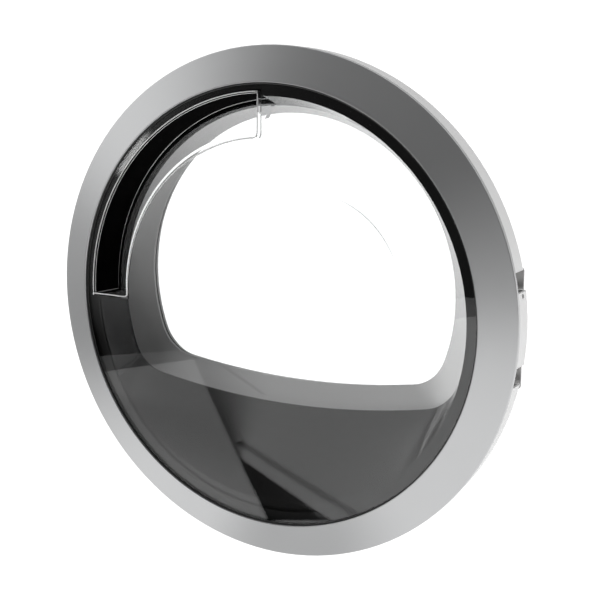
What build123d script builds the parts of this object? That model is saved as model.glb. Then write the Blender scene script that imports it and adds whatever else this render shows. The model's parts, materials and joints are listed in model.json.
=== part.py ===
from build123d import *
from math import atan2, cos, degrees, hypot, radians, sin, sqrt
import os

# A round tumble-dryer door with a see-through middle, standing upright as it hangs.
# All sizes are millimetres. While the pieces are made, the door's axis is the Y axis:
# the front looks towards -Y, the drum is towards +Y, +X is the hinge side and +Z is up.
# The finished pieces are moved once, so that the origin is the centre of the hinge's screw holes.

# Clearances
SEAT_GAP = 0.3            # round a piece that drops into another
RUNNING_GAP = 0.05        # between a pin and the bore that turns on it
SIDE_GAP = 0.5            # beside a part that turns
OVERCUT = 1.0             # how far a cut runs past the wall it opens

# Silver ring on the front
DOOR_RADIUS = 240.0
RING_FACE = 33.0          # width of the sloping face, seen from the front
RING_SLOPE = 13.5         # how far the face falls back to its outer edge
RING_SKIRT = 3.0
RING_WALL = 2.5
RING_LIP = 2.4            # thickness of the lip over the window's edge
LIP_ROUND = 0.8
EDGE_ROUND = 1.5
BOSS_RADIUS = 5.0
BOSS_INSET = 16.0         # from the rim's outside to the middle of a boss
BOSS_SINK = 1.0           # how far a boss runs into the ring's wall

# Clear front window with its finger pocket
WINDOW_LAP = 2.7          # how far its edge reaches under the ring
WINDOW_THICKNESS = 3.0
WINDOW_DOME = 4.0         # how far the middle stands forward of the edge
FRONT_GASKET = 0.6        # thickness of the strip under the ring's lip
FRONT_GASKET_SHOW = 0.8   # how far the strip shows inside the ring
POCKET_EDGE = 8.0         # from the ring's opening to the mouth's outer edge
POCKET_WIDTH = 40.0       # of the mouth, in the window's front edge plane
POCKET_TAPER = 8.0        # how far the outer wall leans in on the way down
POCKET_DEPTH = 31.0       # from the window's front edge plane to the deepest line
POCKET_TOP_END = -11.0    # x of the upright end wall
POCKET_LOW_END = -4.0     # z of the level end wall
POCKET_WALL = 2.5
POCKET_CORNER = 5.0       # rounding where an end wall meets the inner wall

# Black frame behind the window
BORDER_WIDTH = 12.0       # of the flat border inside the ring
BORDER_DROP = 0.8         # how far it lies behind its raised edge, which carries the window
THROAT_TAPER = 11.0       # how far the round wall closes in towards the back
FRAME_WALL = 2.5
FRAME_DEPTH = 38.0        # front face of the rear flange
FLANGE_STEP = 10.0        # from the rim's outside to the flange's edge
BLEND_ANGLE = -42.0       # where the lower panel's corner meets the border, counted from the side

# Grey liner and its D-shaped openings
LINER_WALL = 2.5
LINER_MARGIN = 0.7        # flange beyond the screw heads
FRONT_D_BOTTOM = -99.0
FUNNEL_TAPER = 21.0       # how far the round part closes in towards the back
REAR_D_RISE = 13.0        # the rear opening's round part is centred this far above the axis
REAR_D_BOTTOM = -79.0
D_CORNER = 40.0
D_BOTTOM_RADIUS = 760.0
THROAT_DEPTH = 57.0       # depth of the rear opening's edge

# Clear bowl at the back
BOWL_WALL = 3.0
BOWL_DEPTH = 86.0         # depth of the inside of its flat end
BOWL_END_RADIUS = 100.0
BOWL_END_RISE = 4.0
BOWL_END_BOTTOM = -62.0
BOWL_END_CORNER = 34.0
BOWL_FLANGE = 6.0         # width of its flange round the opening
REAR_GASKET = 2.0
REAR_GASKET_INSET = 1.0
RETAINER_WIDTH = 11.0
RETAINER_WALL = 2.5
RETAINER_SCREWS = 10

# White rim and rear cover
RIM_STEP = 2.0            # how far the rim lies inside the ring's edge
RIM_WALL = 2.5
RIM_ROUND = 4.0
COVER_GAP = 0.5           # round the liner's flange
RIM_SCREW_ANGLES = (35, 70, 110, 145, 215, 250, 290, 325)
LINER_SCREW_ANGLES = (25, 65, 115, 155, 205, 245, 295, 335)

# Rubber door seal
SEAL_STEP = 1.0           # from the funnel's outside to the seal
SEAL_WIDTH = 7.0
SEAL_HEIGHT = 5.6
SEAL_ROUND = 2.4
SEAL_MARGIN = 0.9         # between the seal and the liner's screw heads

# Screws
SCREW_RADIUS = 2.0
SCREW_HEAD_RADIUS = 3.6
SCREW_HEAD = 2.2
SCREW_LENGTH = 16.0
SMALL_SCREW_RADIUS = 1.2
SMALL_HEAD_RADIUS = 2.2
SMALL_HEAD = 1.5
HEAD_ROUND = 0.9

# Hinge
AXIS_INSET = 15.5         # from the rim's outside to the hinge axis
AXIS_Y = 27.0
HINGE_PITCH = 84.0        # between the two arms
NOTCH_HEIGHT = 18.0
NOTCH_FRONT = 21.0        # depth where a notch begins
NOTCH_REACH = 19.0        # from the hinge axis to a notch's inner end
ARM_THICKNESS = 10.0
ARM_ROOT_WIDTH = 10.0
EYE_RADIUS = 7.0
PIN_RADIUS = 3.0
PIN_HEAD_RADIUS = 4.6
PIN_HEAD = 1.2
BUSH_WALL = 1.5
EAR_THICKNESS = 3.0
EAR_RADIUS = 6.0
CARRIER_REACH = 17.5      # from the hinge axis to the inner face of the carrier's web
CARRIER_WALL = 3.0
CARRIER_FRONT = 14.0
CARRIER_BACK = 33.0       # of the web between the feet
CARRIER_HEIGHT = 160.0
FOOT_HEIGHT = 20.0
FOOT_WIDTH = 13.0
CABINET_GAP = 6.0         # from the rear cover to the cabinet's front
PLATE_REACH = 23.5        # from the hinge axis to the plate's inner edge
PLATE_WIDTH = 15.0
PLATE_HEIGHT = 124.0
PLATE_WALL = 2.5
PLATE_CORNER = 5.0
PLATE_HOLE_RADIUS = 2.75
PLATE_HOLE_PITCH = 108.0
PIN_PEEP_RADIUS = 2.2     # small hole in the rim below each notch
PIN_PEEP_DROP = 12.5
PIN_PEEP_DEPTH = 31.0

# Latch
LATCH_INSET = 22.0        # from the rim's outside to the pivot
LATCH_Y = 26.0
LATCH_Z = -30.0           # middle of the hook
LATCH_PLATE_IN = 11.5     # from the pivot to the plate's edges
LATCH_PLATE_OUT = 12.0
LATCH_PLATE_HEIGHT = 44.0
LATCH_PLATE_WALL = 2.0
LATCH_PLATE_CORNER = 4.0
LATCH_BOX_IN = 10.0       # from the pivot to the box's sides
LATCH_BOX_OUT = 7.5
LATCH_BOX_HEIGHT = 34.0
LATCH_BOX_WALL = 2.0
LATCH_BOX_FRONT = 16.0
LATCH_SCREW_PITCH = 39.0
HOOK_THICKNESS = 14.0
HOOK_WIDTH = 6.0
HOOK_BOSS_RADIUS = 4.8
HOOK_REACH = 19.0         # how far it stands behind the rear cover
HOOK_NOSE = 5.0
HOOK_NOSE_LENGTH = 7.0
LATCH_PIN_RADIUS = 2.0
SPRING_WIRE = 0.45        # radius
SPRING_TURNS = 4
SPRING_PITCH = 1.5

# Depths that follow from the sizes above
skirt_back = RING_SLOPE + RING_SKIRT
window_front = RING_LIP + FRONT_GASKET
window_back = window_front + WINDOW_THICKNESS
border_front = window_back + BORDER_DROP
flange_back = FRAME_DEPTH + FRAME_WALL
cover_back = flange_back + RIM_WALL
liner_flange_back = flange_back + LINER_WALL
lip_back = THROAT_DEPTH + LINER_WALL
glass_front = lip_back + REAR_GASKET
glass_back = glass_front + BOWL_WALL
retainer_back = glass_back + RETAINER_WALL
cabinet = cover_back + CABINET_GAP
plate_front = cabinet - PLATE_WALL
arm_heights = (HINGE_PITCH / 2, -HINGE_PITCH / 2)

# Radii that follow, from the ring inwards
ring_opening = DOOR_RADIUS - RING_FACE
window_radius = ring_opening + WINDOW_LAP
gasket_inner = ring_opening - FRONT_GASKET_SHOW
pocket_outer = ring_opening - POCKET_EDGE
pocket_inner = pocket_outer - POCKET_WIDTH
pocket_valley_radius = pocket_outer - POCKET_TAPER
frame_border = ring_opening - BORDER_WIDTH
frame_throat = frame_border - THROAT_TAPER
rear_d_radius = frame_throat - FUNNEL_TAPER
seal_inner = frame_throat + LINER_WALL + SEAL_STEP
seal_outer = seal_inner + SEAL_WIDTH
liner_screw_circle = seal_outer + SEAL_MARGIN + SMALL_HEAD_RADIUS
liner_flange_radius = liner_screw_circle + SMALL_HEAD_RADIUS + LINER_MARGIN
cover_opening = liner_flange_radius + COVER_GAP

# Radii and places that follow from the rim's outside
rim_radius = DOOR_RADIUS - RIM_STEP
boss_circle = rim_radius - BOSS_INSET
frame_flange_radius = rim_radius - FLANGE_STEP
axis_x = rim_radius - AXIS_INSET
notch_inner = axis_x - NOTCH_REACH
carrier_x = axis_x - CARRIER_REACH
carrier_outer = carrier_x + CARRIER_WALL
foot_reach = carrier_x + FOOT_WIDTH
plate_x = axis_x - PLATE_REACH + PLATE_WIDTH / 2
latch_x = LATCH_INSET - rim_radius
latch_plate_inner = latch_x + LATCH_PLATE_IN
latch_plate_outer = latch_x - LATCH_PLATE_OUT
latch_box_inner = latch_x + LATCH_BOX_IN
latch_box_outer = latch_x - LATCH_BOX_OUT


def turned(corners):
    """Body of revolution about the door's axis; a corner is radius, depth and, where round, its rounding."""
    face = make_face(Polyline(*[(c[0], c[1]) for c in corners], close=True))
    for radius, depth, rounding in [c for c in corners if len(c) == 3]:
        corner = face.vertices().sort_by_distance((radius, depth))[0]
        face = fillet(corner, rounding)
    return revolve(face, Axis.Y)


def across(outline, front, back):
    """Plate between two depths from an outline drawn as the front shows it."""
    return extrude(Plane.XZ.offset(-front) * outline, amount=front - back)


def upright(outline, low, high):
    """Plate between two heights from an outline drawn as the top shows it, with +Y away from the viewer."""
    return extrude(Plane.XY.offset(low) * outline, amount=high - low)


def block(x0, x1, y0, y1, z0, z1):
    """Box between two corners."""
    return Pos((x0 + x1) / 2, (y0 + y1) / 2, (z0 + z1) / 2) * Box(abs(x1 - x0), abs(y1 - y0), abs(z1 - z0))


def rod(x, z, radius, front, back):
    """Round bar along the door's axis direction."""
    return across(Pos(x, z) * Circle(radius), front, back)


def around(circle, angles):
    """Points on a circle about the door's axis, as the front shows them."""
    return [(circle * cos(radians(a)), circle * sin(radians(a))) for a in angles]


def d_outline(radius, rise, bottom, corner, grow=0.0):
    """Round opening with a gently curved sill; grow widens it evenly."""
    bow = D_BOTTOM_RADIUS + grow
    round_part = Pos(0, rise) * Rot(0, 0, -90) * Circle(radius + grow)
    sill = Pos(0, bottom - grow + bow) * Rot(0, 0, 90) * Circle(bow)
    outline = round_part & sill
    return fillet(outline.vertices(), corner + grow)


def front_d(grow=0.0):
    return d_outline(frame_throat, 0, FRONT_D_BOTTOM, D_CORNER, grow)


def rear_d(grow=0.0):
    return d_outline(rear_d_radius, REAR_D_RISE, REAR_D_BOTTOM, D_CORNER, grow)


def bowl_end(grow=0.0):
    return d_outline(BOWL_END_RADIUS, BOWL_END_RISE, BOWL_END_BOTTOM, BOWL_END_CORNER, grow)


def funnel(front_outline, front, back_outline, back):
    """Straight-sided passage between two outlines at two depths."""
    sections = [Plane.XZ.offset(-front) * front_outline, Plane.XZ.offset(-back) * back_outline]
    return loft(sections, ruled=True)


def pan_screw(x, z, seat, length, radius, head_radius, head):
    """Screw driven from behind: its head rests on the face at depth seat."""
    shank = rod(x, z, radius, seat - length, seat)
    cap = rod(x, z, head_radius, seat, seat + head)
    rim = cap.edges().group_by(Axis.Y)[-1]
    return shank + fillet(rim, HEAD_ROUND)


def screw_group(points, seat, length, radius, head_radius, head):
    return Compound([pan_screw(x, z, seat, length, radius, head_radius, head).solid() for x, z in points])


def holes(points, radius, front, back):
    return [rod(x, z, radius, front - OVERCUT, back + OVERCUT) for x, z in points]


# Where the screws go
rim_points = around(boss_circle, RIM_SCREW_ANGLES)
liner_points = around(liner_screw_circle, LINER_SCREW_ANGLES)
foot_middle = (CARRIER_HEIGHT - FOOT_HEIGHT) / 2
foot_x = (carrier_outer + foot_reach) / 2
carrier_points = [(foot_x, foot_middle), (foot_x, -foot_middle)]
latch_plate_x = (latch_plate_inner + latch_plate_outer) / 2
latch_points = [(latch_plate_x, LATCH_Z + side * LATCH_SCREW_PITCH / 2) for side in (1, -1)]
retainer_path = rear_d((BOWL_FLANGE + SEAT_GAP + RETAINER_WIDTH) / 2).wire()
retainer_shares = [i / RETAINER_SCREWS for i in range(RETAINER_SCREWS)]
retainer_points = [(p.X, p.Y) for p in retainer_path.positions(retainer_shares)]


def ring_inside(radius):
    """Depth of the ring's inner face at a radius."""
    slope = RING_SLOPE / (DOOR_RADIUS - ring_opening)
    return (radius - ring_opening) * slope + RING_WALL * sqrt(1 + slope**2)


def make_trim_ring():
    seat = window_radius + SEAT_GAP
    inner = DOOR_RADIUS - RING_WALL
    shell = turned([
        (ring_opening, 0, LIP_ROUND),
        (DOOR_RADIUS, RING_SLOPE, EDGE_ROUND),
        (DOOR_RADIUS, skirt_back),
        (inner, skirt_back),
        (inner, ring_inside(inner)),
        (seat, ring_inside(seat)),
        (seat, RING_LIP),
        (ring_opening, RING_LIP),
    ])
    behind_face = turned([
        (seat, ring_inside(seat) - BOSS_SINK),
        (inner, ring_inside(inner) - BOSS_SINK),
        (inner, FRAME_DEPTH),
        (seat, FRAME_DEPTH),
    ])
    for x, z in rim_points:
        shell += rod(x, z, BOSS_RADIUS, 0, FRAME_DEPTH) & behind_face
    bore_front = cover_back - SCREW_LENGTH
    return shell - [rod(x, z, SCREW_RADIUS, bore_front, FRAME_DEPTH + OVERCUT) for x, z in rim_points]


def make_front_window_gasket():
    return turned([
        (gasket_inner, RING_LIP),
        (window_radius, RING_LIP),
        (window_radius, window_front),
        (gasket_inner, window_front),
    ])


def is_near(first, second):
    return abs(first - second) < OVERCUT / 100


def pocket_space(grow=0.0):
    """The finger pocket's hollow, open towards the front; grow widens it on every closed side."""
    valley = window_front + POCKET_DEPTH
    mouth = window_front - WINDOW_DOME - OVERCUT
    rise = (valley - mouth) / POCKET_DEPTH
    section = make_face(Polyline(
        (pocket_valley_radius - (pocket_valley_radius - pocket_inner) * rise, mouth),
        (pocket_valley_radius, valley),
        (pocket_valley_radius + (pocket_outer - pocket_valley_radius) * rise, mouth),
        close=True,
    ))
    if grow:
        section = offset(section, amount=grow, kind=Kind.INTERSECTION)
    reach = pocket_outer + POCKET_DEPTH
    top_end = POCKET_TOP_END + grow
    low_end = POCKET_LOW_END - grow
    space = revolve(section, Axis.Y) & block(-reach, top_end, mouth - reach, valley + reach, low_end, reach)
    inner_wall = space.faces().sort_by(lambda f: hypot(f.center().X, f.center().Z))[0]
    middles = [(edge, edge.center()) for edge in inner_wall.edges()]
    ends = [edge for edge, middle in middles if is_near(middle.X, top_end) or is_near(middle.Z, low_end)]
    return fillet(ends, POCKET_CORNER + grow)


def window_skin(front, back, radius):
    """Domed pane between two edge depths."""
    dome = gasket_inner
    top = ThreePointArc((0, front - WINDOW_DOME), (dome / 2, front - WINDOW_DOME * 3 / 4), (dome, front))
    edge = Polyline((dome, front), (radius, front), (radius, back), (dome, back))
    under = ThreePointArc((dome, back), (dome / 2, back - WINDOW_DOME * 3 / 4), (0, back - WINDOW_DOME))
    middle = Line((0, back - WINDOW_DOME), (0, front - WINDOW_DOME))
    return revolve(make_face([top, edge, under, middle]), Axis.Y)


def make_front_window():
    pane = window_skin(window_front, window_back, window_radius)
    behind_front = window_skin(window_front + OVERCUT, window_back + 2 * POCKET_DEPTH, window_radius)
    scoop = pocket_space(POCKET_WALL) & behind_front
    return pane + scoop - pocket_space()


def border_outline(grow=0.0):
    """The border's round inner edge, divided like the D behind it so that straight lines join the two."""
    radius = frame_border + grow
    corner = front_d().vertices().sort_by(Axis.X)[-1]
    side = degrees(atan2(corner.Y, corner.X))
    turn = side - BLEND_ANGLE
    return make_face([
        CenterArc((0, 0), radius, side, 180 - 2 * side),
        CenterArc((0, 0), radius, 180 - side, turn),
        CenterArc((0, 0), radius, 180 - BLEND_ANGLE, 180 + 2 * BLEND_ANGLE),
        CenterArc((0, 0), radius, BLEND_ANGLE, turn),
    ])


def passage(grow=0.0):
    """The hollow inside the frame: round at the border, a D at the flange."""
    return funnel(border_outline(grow), border_front, front_d(grow), FRAME_DEPTH)


def make_inner_frame():
    border = turned([
        (frame_border, border_front),
        (gasket_inner, border_front),
        (gasket_inner, window_back),
        (window_radius, window_back),
        (window_radius, border_front + FRAME_WALL),
        (frame_border, border_front + FRAME_WALL),
    ])
    rear_flange = across(Circle(frame_flange_radius) - front_d(), FRAME_DEPTH, flange_back)
    wall = Pos(0, FRAME_WALL, 0) * passage(FRAME_WALL / 2)
    backing = pocket_space(POCKET_WALL + SEAT_GAP + FRAME_WALL) & turned([
        (frame_throat + FRAME_WALL, border_front + FRAME_WALL / 2),
        (frame_flange_radius, border_front + FRAME_WALL / 2),
        (frame_flange_radius, FRAME_DEPTH),
        (frame_throat + FRAME_WALL, FRAME_DEPTH),
    ])
    frame = border + rear_flange + wall + backing
    frame -= passage() + across(front_d(), FRAME_DEPTH, flange_back)
    frame -= pocket_space(POCKET_WALL + SEAT_GAP)
    frame -= hinge_notches()
    frame -= holes(rim_points, SCREW_RADIUS, FRAME_DEPTH, flange_back)
    frame -= holes(liner_points, SMALL_SCREW_RADIUS, FRAME_DEPTH, flange_back)
    frame -= holes(carrier_points, SCREW_RADIUS, FRAME_DEPTH, flange_back)
    frame -= holes(latch_points, SMALL_SCREW_RADIUS, FRAME_DEPTH, flange_back)
    return frame - latch_cutout()


def hinge_notches():
    """Cuts for the hinge arms, open to the side and to the back."""
    half = NOTCH_HEIGHT / 2
    reach = DOOR_RADIUS + OVERCUT
    back = cover_back + OVERCUT
    return [block(notch_inner, reach, NOTCH_FRONT, back, z - half, z + half) for z in arm_heights]


def latch_cutout():
    """Opening in frame and cover that the latch's box passes through."""
    half = LATCH_BOX_HEIGHT / 2 + SEAT_GAP
    return block(
        latch_box_outer - SEAT_GAP, latch_box_inner + SEAT_GAP,
        FRAME_DEPTH - OVERCUT, cover_back + OVERCUT,
        LATCH_Z - half, LATCH_Z + half)


def make_door_liner():
    shell = across(Circle(liner_flange_radius), flange_back, liner_flange_back)
    shell += funnel(front_d(LINER_WALL), flange_back, rear_d(LINER_WALL), THROAT_DEPTH)
    shell += across(rear_d(RETAINER_WIDTH), THROAT_DEPTH, lip_back)
    shell -= funnel(front_d(), flange_back, rear_d(), THROAT_DEPTH)
    shell -= across(rear_d(), THROAT_DEPTH, lip_back)
    shell -= holes(liner_points, SMALL_SCREW_RADIUS, flange_back, liner_flange_back)
    return shell - holes(retainer_points, SMALL_SCREW_RADIUS, THROAT_DEPTH, lip_back)


def make_rear_window_gasket():
    return across(rear_d(BOWL_FLANGE) - rear_d(REAR_GASKET_INSET), lip_back, glass_front)


def make_rear_window():
    bowl = across(rear_d(BOWL_FLANGE), glass_front, glass_back)
    bowl += funnel(rear_d(BOWL_WALL / 2), glass_front, bowl_end(), BOWL_DEPTH + BOWL_WALL)
    return bowl - funnel(rear_d(-BOWL_WALL / 2), glass_front, bowl_end(-BOWL_WALL), BOWL_DEPTH)


def make_rear_window_retainer():
    frame = across(rear_d(RETAINER_WIDTH) - rear_d(BOWL_WALL / 2 + SEAT_GAP), lip_back, retainer_back)
    frame -= across(rear_d(BOWL_FLANGE + SEAT_GAP), lip_back, glass_back)
    return frame - holes(retainer_points, SMALL_SCREW_RADIUS, lip_back, retainer_back)


def make_rim_cover():
    cover = turned([
        (rim_radius, skirt_back),
        (rim_radius, cover_back, RIM_ROUND),
        (cover_opening, cover_back),
        (cover_opening, flange_back),
        (rim_radius - RIM_WALL, flange_back),
        (rim_radius - RIM_WALL, skirt_back),
    ])
    cover -= hinge_notches()
    peep = Rot(0, 90, 0) * Cylinder(PIN_PEEP_RADIUS, 4 * RIM_WALL)
    cover -= [Pos(rim_radius, PIN_PEEP_DEPTH, z - PIN_PEEP_DROP) * peep for z in arm_heights]
    cover -= holes(rim_points, SCREW_RADIUS, flange_back, cover_back)
    cover -= holes(carrier_points, SCREW_RADIUS, flange_back, cover_back)
    cover -= holes(latch_points, SMALL_SCREW_RADIUS, flange_back, cover_back)
    return cover - latch_cutout()


def make_door_seal():
    top = liner_flange_back + SEAL_HEIGHT
    return turned([
        (seal_inner, liner_flange_back),
        (seal_outer, liner_flange_back),
        (seal_outer, top, SEAL_ROUND),
        (seal_inner, top, SEAL_ROUND),
    ])


def make_hinge_carrier():
    half = CARRIER_HEIGHT / 2
    carrier = block(carrier_x, carrier_outer, CARRIER_FRONT, CARRIER_BACK, -half, half)
    for side in (1, -1):
        low = side * (half - FOOT_HEIGHT)
        high = side * half
        carrier += block(carrier_x, carrier_outer, CARRIER_FRONT, FRAME_DEPTH, low, high)
        carrier += block(carrier_x, foot_reach, FRAME_DEPTH - CARRIER_WALL, FRAME_DEPTH, low, high)
    ear = make_hull((Pos(axis_x, AXIS_Y) * Circle(EAR_RADIUS)).edges()
                    + (Pos(carrier_outer, AXIS_Y) * Rectangle(CARRIER_WALL, 2 * EAR_RADIUS)).edges())
    inner_gap = ARM_THICKNESS / 2 + SIDE_GAP
    for z in arm_heights:
        carrier += upright(ear, z + inner_gap, z + inner_gap + EAR_THICKNESS)
        carrier += upright(ear, z - inner_gap - EAR_THICKNESS, z - inner_gap)
    carrier -= [Pos(axis_x, AXIS_Y, 0) * Cylinder(PIN_RADIUS, CARRIER_HEIGHT)]
    return carrier - holes(carrier_points, SCREW_RADIUS, FRAME_DEPTH - CARRIER_WALL, FRAME_DEPTH)


def make_hinge_pins():
    half = ARM_THICKNESS / 2 + SIDE_GAP + EAR_THICKNESS
    spot = Pos(axis_x, AXIS_Y) * Circle(PIN_RADIUS)
    head = Pos(axis_x, AXIS_Y) * Circle(PIN_HEAD_RADIUS)
    pin = upright(spot, -half, half) + upright(head, -half - PIN_HEAD, -half)
    return Compound([(Pos(0, 0, z) * pin).solid() for z in arm_heights])


def make_hinge_bracket():
    outline = Pos(plate_x, 0) * RectangleRounded(PLATE_WIDTH, PLATE_HEIGHT, PLATE_CORNER)
    bracket = across(outline, plate_front, cabinet)
    root = Pos(plate_x, (plate_front + cabinet) / 2) * Rectangle(ARM_ROOT_WIDTH, PLATE_WALL)
    eye = Pos(axis_x, AXIS_Y) * Circle(EYE_RADIUS)
    arm = make_hull(eye.edges() + root.edges())
    for z in arm_heights:
        bracket += upright(arm, z - ARM_THICKNESS / 2, z + ARM_THICKNESS / 2)
    bracket -= [Pos(axis_x, AXIS_Y, 0) * Cylinder(PIN_RADIUS + RUNNING_GAP + BUSH_WALL, PLATE_HEIGHT)]
    return bracket - holes(plate_points(), PLATE_HOLE_RADIUS, plate_front, cabinet)


def plate_points():
    return [(plate_x, PLATE_HOLE_PITCH / 2), (plate_x, -PLATE_HOLE_PITCH / 2)]


def make_hinge_bushes():
    bore = PIN_RADIUS + RUNNING_GAP
    ring = Pos(axis_x, AXIS_Y) * (Circle(bore + BUSH_WALL) - Circle(bore))
    bush = upright(ring, -ARM_THICKNESS / 2, ARM_THICKNESS / 2)
    return Compound([(Pos(0, 0, z) * bush).solid() for z in arm_heights])


def make_latch_housing():
    half = LATCH_BOX_HEIGHT / 2
    plate = Pos(latch_plate_x, LATCH_Z) * RectangleRounded(
        latch_plate_inner - latch_plate_outer, LATCH_PLATE_HEIGHT, LATCH_PLATE_CORNER)
    housing = across(plate, cover_back, cover_back + LATCH_PLATE_WALL)
    housing += block(
        latch_box_outer, latch_box_inner, LATCH_BOX_FRONT, cover_back, LATCH_Z - half, LATCH_Z + half)
    housing -= block(
        latch_box_outer + LATCH_BOX_WALL, latch_box_inner - LATCH_BOX_WALL,
        LATCH_BOX_FRONT + LATCH_BOX_WALL, cover_back + LATCH_PLATE_WALL + OVERCUT,
        LATCH_Z - half + LATCH_BOX_WALL, LATCH_Z + half - LATCH_BOX_WALL)
    housing -= [Pos(latch_x, LATCH_Y, LATCH_Z) * Cylinder(LATCH_PIN_RADIUS, LATCH_BOX_HEIGHT + OVERCUT)]
    return housing - holes(latch_points, SMALL_SCREW_RADIUS, cover_back, cover_back + LATCH_PLATE_WALL)


def make_latch_pin():
    return Pos(latch_x, LATCH_Y, LATCH_Z) * Cylinder(LATCH_PIN_RADIUS, LATCH_BOX_HEIGHT)


def make_latch_hook():
    half = HOOK_WIDTH / 2
    tip = cover_back + HOOK_REACH
    shank = make_face(Polyline(
        (latch_x + half, LATCH_Y),
        (latch_x + half, tip - HOOK_NOSE),
        (latch_x, tip),
        (latch_x - half, tip),
        (latch_x - half - HOOK_NOSE, tip - HOOK_NOSE),
        (latch_x - half - HOOK_NOSE, tip - HOOK_NOSE_LENGTH),
        (latch_x - half, tip - HOOK_NOSE_LENGTH),
        (latch_x - half, LATCH_Y),
        close=True,
    ))
    outline = shank + Pos(latch_x, LATCH_Y) * Circle(HOOK_BOSS_RADIUS)
    outline -= Pos(latch_x, LATCH_Y) * Circle(LATCH_PIN_RADIUS + RUNNING_GAP)
    return upright(outline, LATCH_Z - HOOK_THICKNESS / 2, LATCH_Z + HOOK_THICKNESS / 2)


def make_latch_spring():
    coil = LATCH_PIN_RADIUS + SEAT_GAP + SPRING_WIRE
    foot = LATCH_Z + HOOK_THICKNESS / 2 + SEAT_GAP + SPRING_WIRE
    path = Pos(latch_x, LATCH_Y, foot) * Helix(SPRING_PITCH, SPRING_PITCH * SPRING_TURNS, coil)
    wire = Plane(path @ 0, z_dir=path % 0) * Circle(SPRING_WIRE)
    return sweep(wire, path, is_frenet=True)


pieces = {
    "trim_ring": make_trim_ring(),
    "front_window_gasket": make_front_window_gasket(),
    "front_window": make_front_window(),
    "inner_frame": make_inner_frame(),
    "door_liner": make_door_liner(),
    "rear_window_gasket": make_rear_window_gasket(),
    "rear_window": make_rear_window(),
    "rear_window_retainer": make_rear_window_retainer(),
    "retainer_screws": screw_group(
        retainer_points, retainer_back, retainer_back - THROAT_DEPTH,
        SMALL_SCREW_RADIUS, SMALL_HEAD_RADIUS, SMALL_HEAD),
    "rim_cover": make_rim_cover(),
    "rim_screws": screw_group(
        rim_points, cover_back, SCREW_LENGTH, SCREW_RADIUS, SCREW_HEAD_RADIUS, SCREW_HEAD),
    "liner_screws": screw_group(
        liner_points, liner_flange_back, liner_flange_back - FRAME_DEPTH,
        SMALL_SCREW_RADIUS, SMALL_HEAD_RADIUS, SMALL_HEAD),
    "door_seal": make_door_seal(),
    "hinge_carrier": make_hinge_carrier(),
    "carrier_screws": screw_group(
        carrier_points, cover_back, cover_back - FRAME_DEPTH + CARRIER_WALL,
        SCREW_RADIUS, SCREW_HEAD_RADIUS, SCREW_HEAD),
    "hinge_pins": make_hinge_pins(),
    "hinge_bracket": make_hinge_bracket(),
    "hinge_bushes": make_hinge_bushes(),
    "latch_housing": make_latch_housing(),
    "latch_pin": make_latch_pin(),
    "latch_spring": make_latch_spring(),
    "latch_hook": make_latch_hook(),
    "latch_screws": screw_group(
        latch_points, cover_back + LATCH_PLATE_WALL, cover_back + LATCH_PLATE_WALL - FRAME_DEPTH,
        SMALL_SCREW_RADIUS, SMALL_HEAD_RADIUS, SMALL_HEAD),
}

hinge_origin = Pos(-plate_x, -cabinet, 0)
os.makedirs("parts", exist_ok=True)
for name, piece in pieces.items():
    export_step(hinge_origin * piece, f"parts/{name}.step")
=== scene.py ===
# %% [markdown]
# This lesson dresses a round dryer door that was first drawn as solids. The solids arrive as a fixed
# frame in metres: a silver ring, a clear pane with a moulded finger pocket, a black frame, a grey
# funnel that ends in a clear bowl, a white rim, and the hinge, latch and screws behind. Nothing in the
# frame is moved here. We add the camera, the studio, a finish for every piece, and the small shapes that
# are too fine for the solids, such as the cross recesses of the screws.

# %% Load the frame
import json
import math

import bmesh
import bpy
from mathutils import Matrix, Vector


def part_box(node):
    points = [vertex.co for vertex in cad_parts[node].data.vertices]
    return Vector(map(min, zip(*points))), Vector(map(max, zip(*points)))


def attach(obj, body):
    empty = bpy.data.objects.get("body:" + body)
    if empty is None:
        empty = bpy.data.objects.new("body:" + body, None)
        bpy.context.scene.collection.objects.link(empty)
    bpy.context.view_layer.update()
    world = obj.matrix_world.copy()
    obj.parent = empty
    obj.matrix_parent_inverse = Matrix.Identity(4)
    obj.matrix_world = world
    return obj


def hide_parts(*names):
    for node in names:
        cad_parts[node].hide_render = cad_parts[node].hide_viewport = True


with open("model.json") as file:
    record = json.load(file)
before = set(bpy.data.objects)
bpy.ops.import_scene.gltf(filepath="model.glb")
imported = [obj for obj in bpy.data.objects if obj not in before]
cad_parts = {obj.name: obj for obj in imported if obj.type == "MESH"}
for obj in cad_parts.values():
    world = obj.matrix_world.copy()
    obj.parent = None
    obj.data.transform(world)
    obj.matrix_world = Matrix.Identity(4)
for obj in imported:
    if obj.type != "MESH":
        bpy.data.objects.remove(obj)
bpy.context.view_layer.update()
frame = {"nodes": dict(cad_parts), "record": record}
nodes = frame["nodes"]
scene = bpy.context.scene

# %% [markdown]
# The photograph looks at the door from the right and a little from above. The ring's oval gives both
# angles, and the way the far side shrinks gives the distance. We could aim the camera at the ring's
# middle and shift the picture, but turning the camera those few pixels keeps other views centred.

# %% Camera
PICTURE = 600
FOCAL_PIXELS = 1522.3
SENSOR = 36.0
FAR_CLIP = 200
CAMERA_DISTANCE = 1.400
CAMERA_AZIMUTH = math.radians(30.11)
CAMERA_ELEVATION = math.radians(11.83)
CENTRE_PIXEL = (267.4, 309.1)
ring_low, ring_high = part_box("trim_ring")
RING_CENTRE = Vector(((ring_low.x + ring_high.x) / 2, ring_low.y, (ring_low.z + ring_high.z) / 2))

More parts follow.
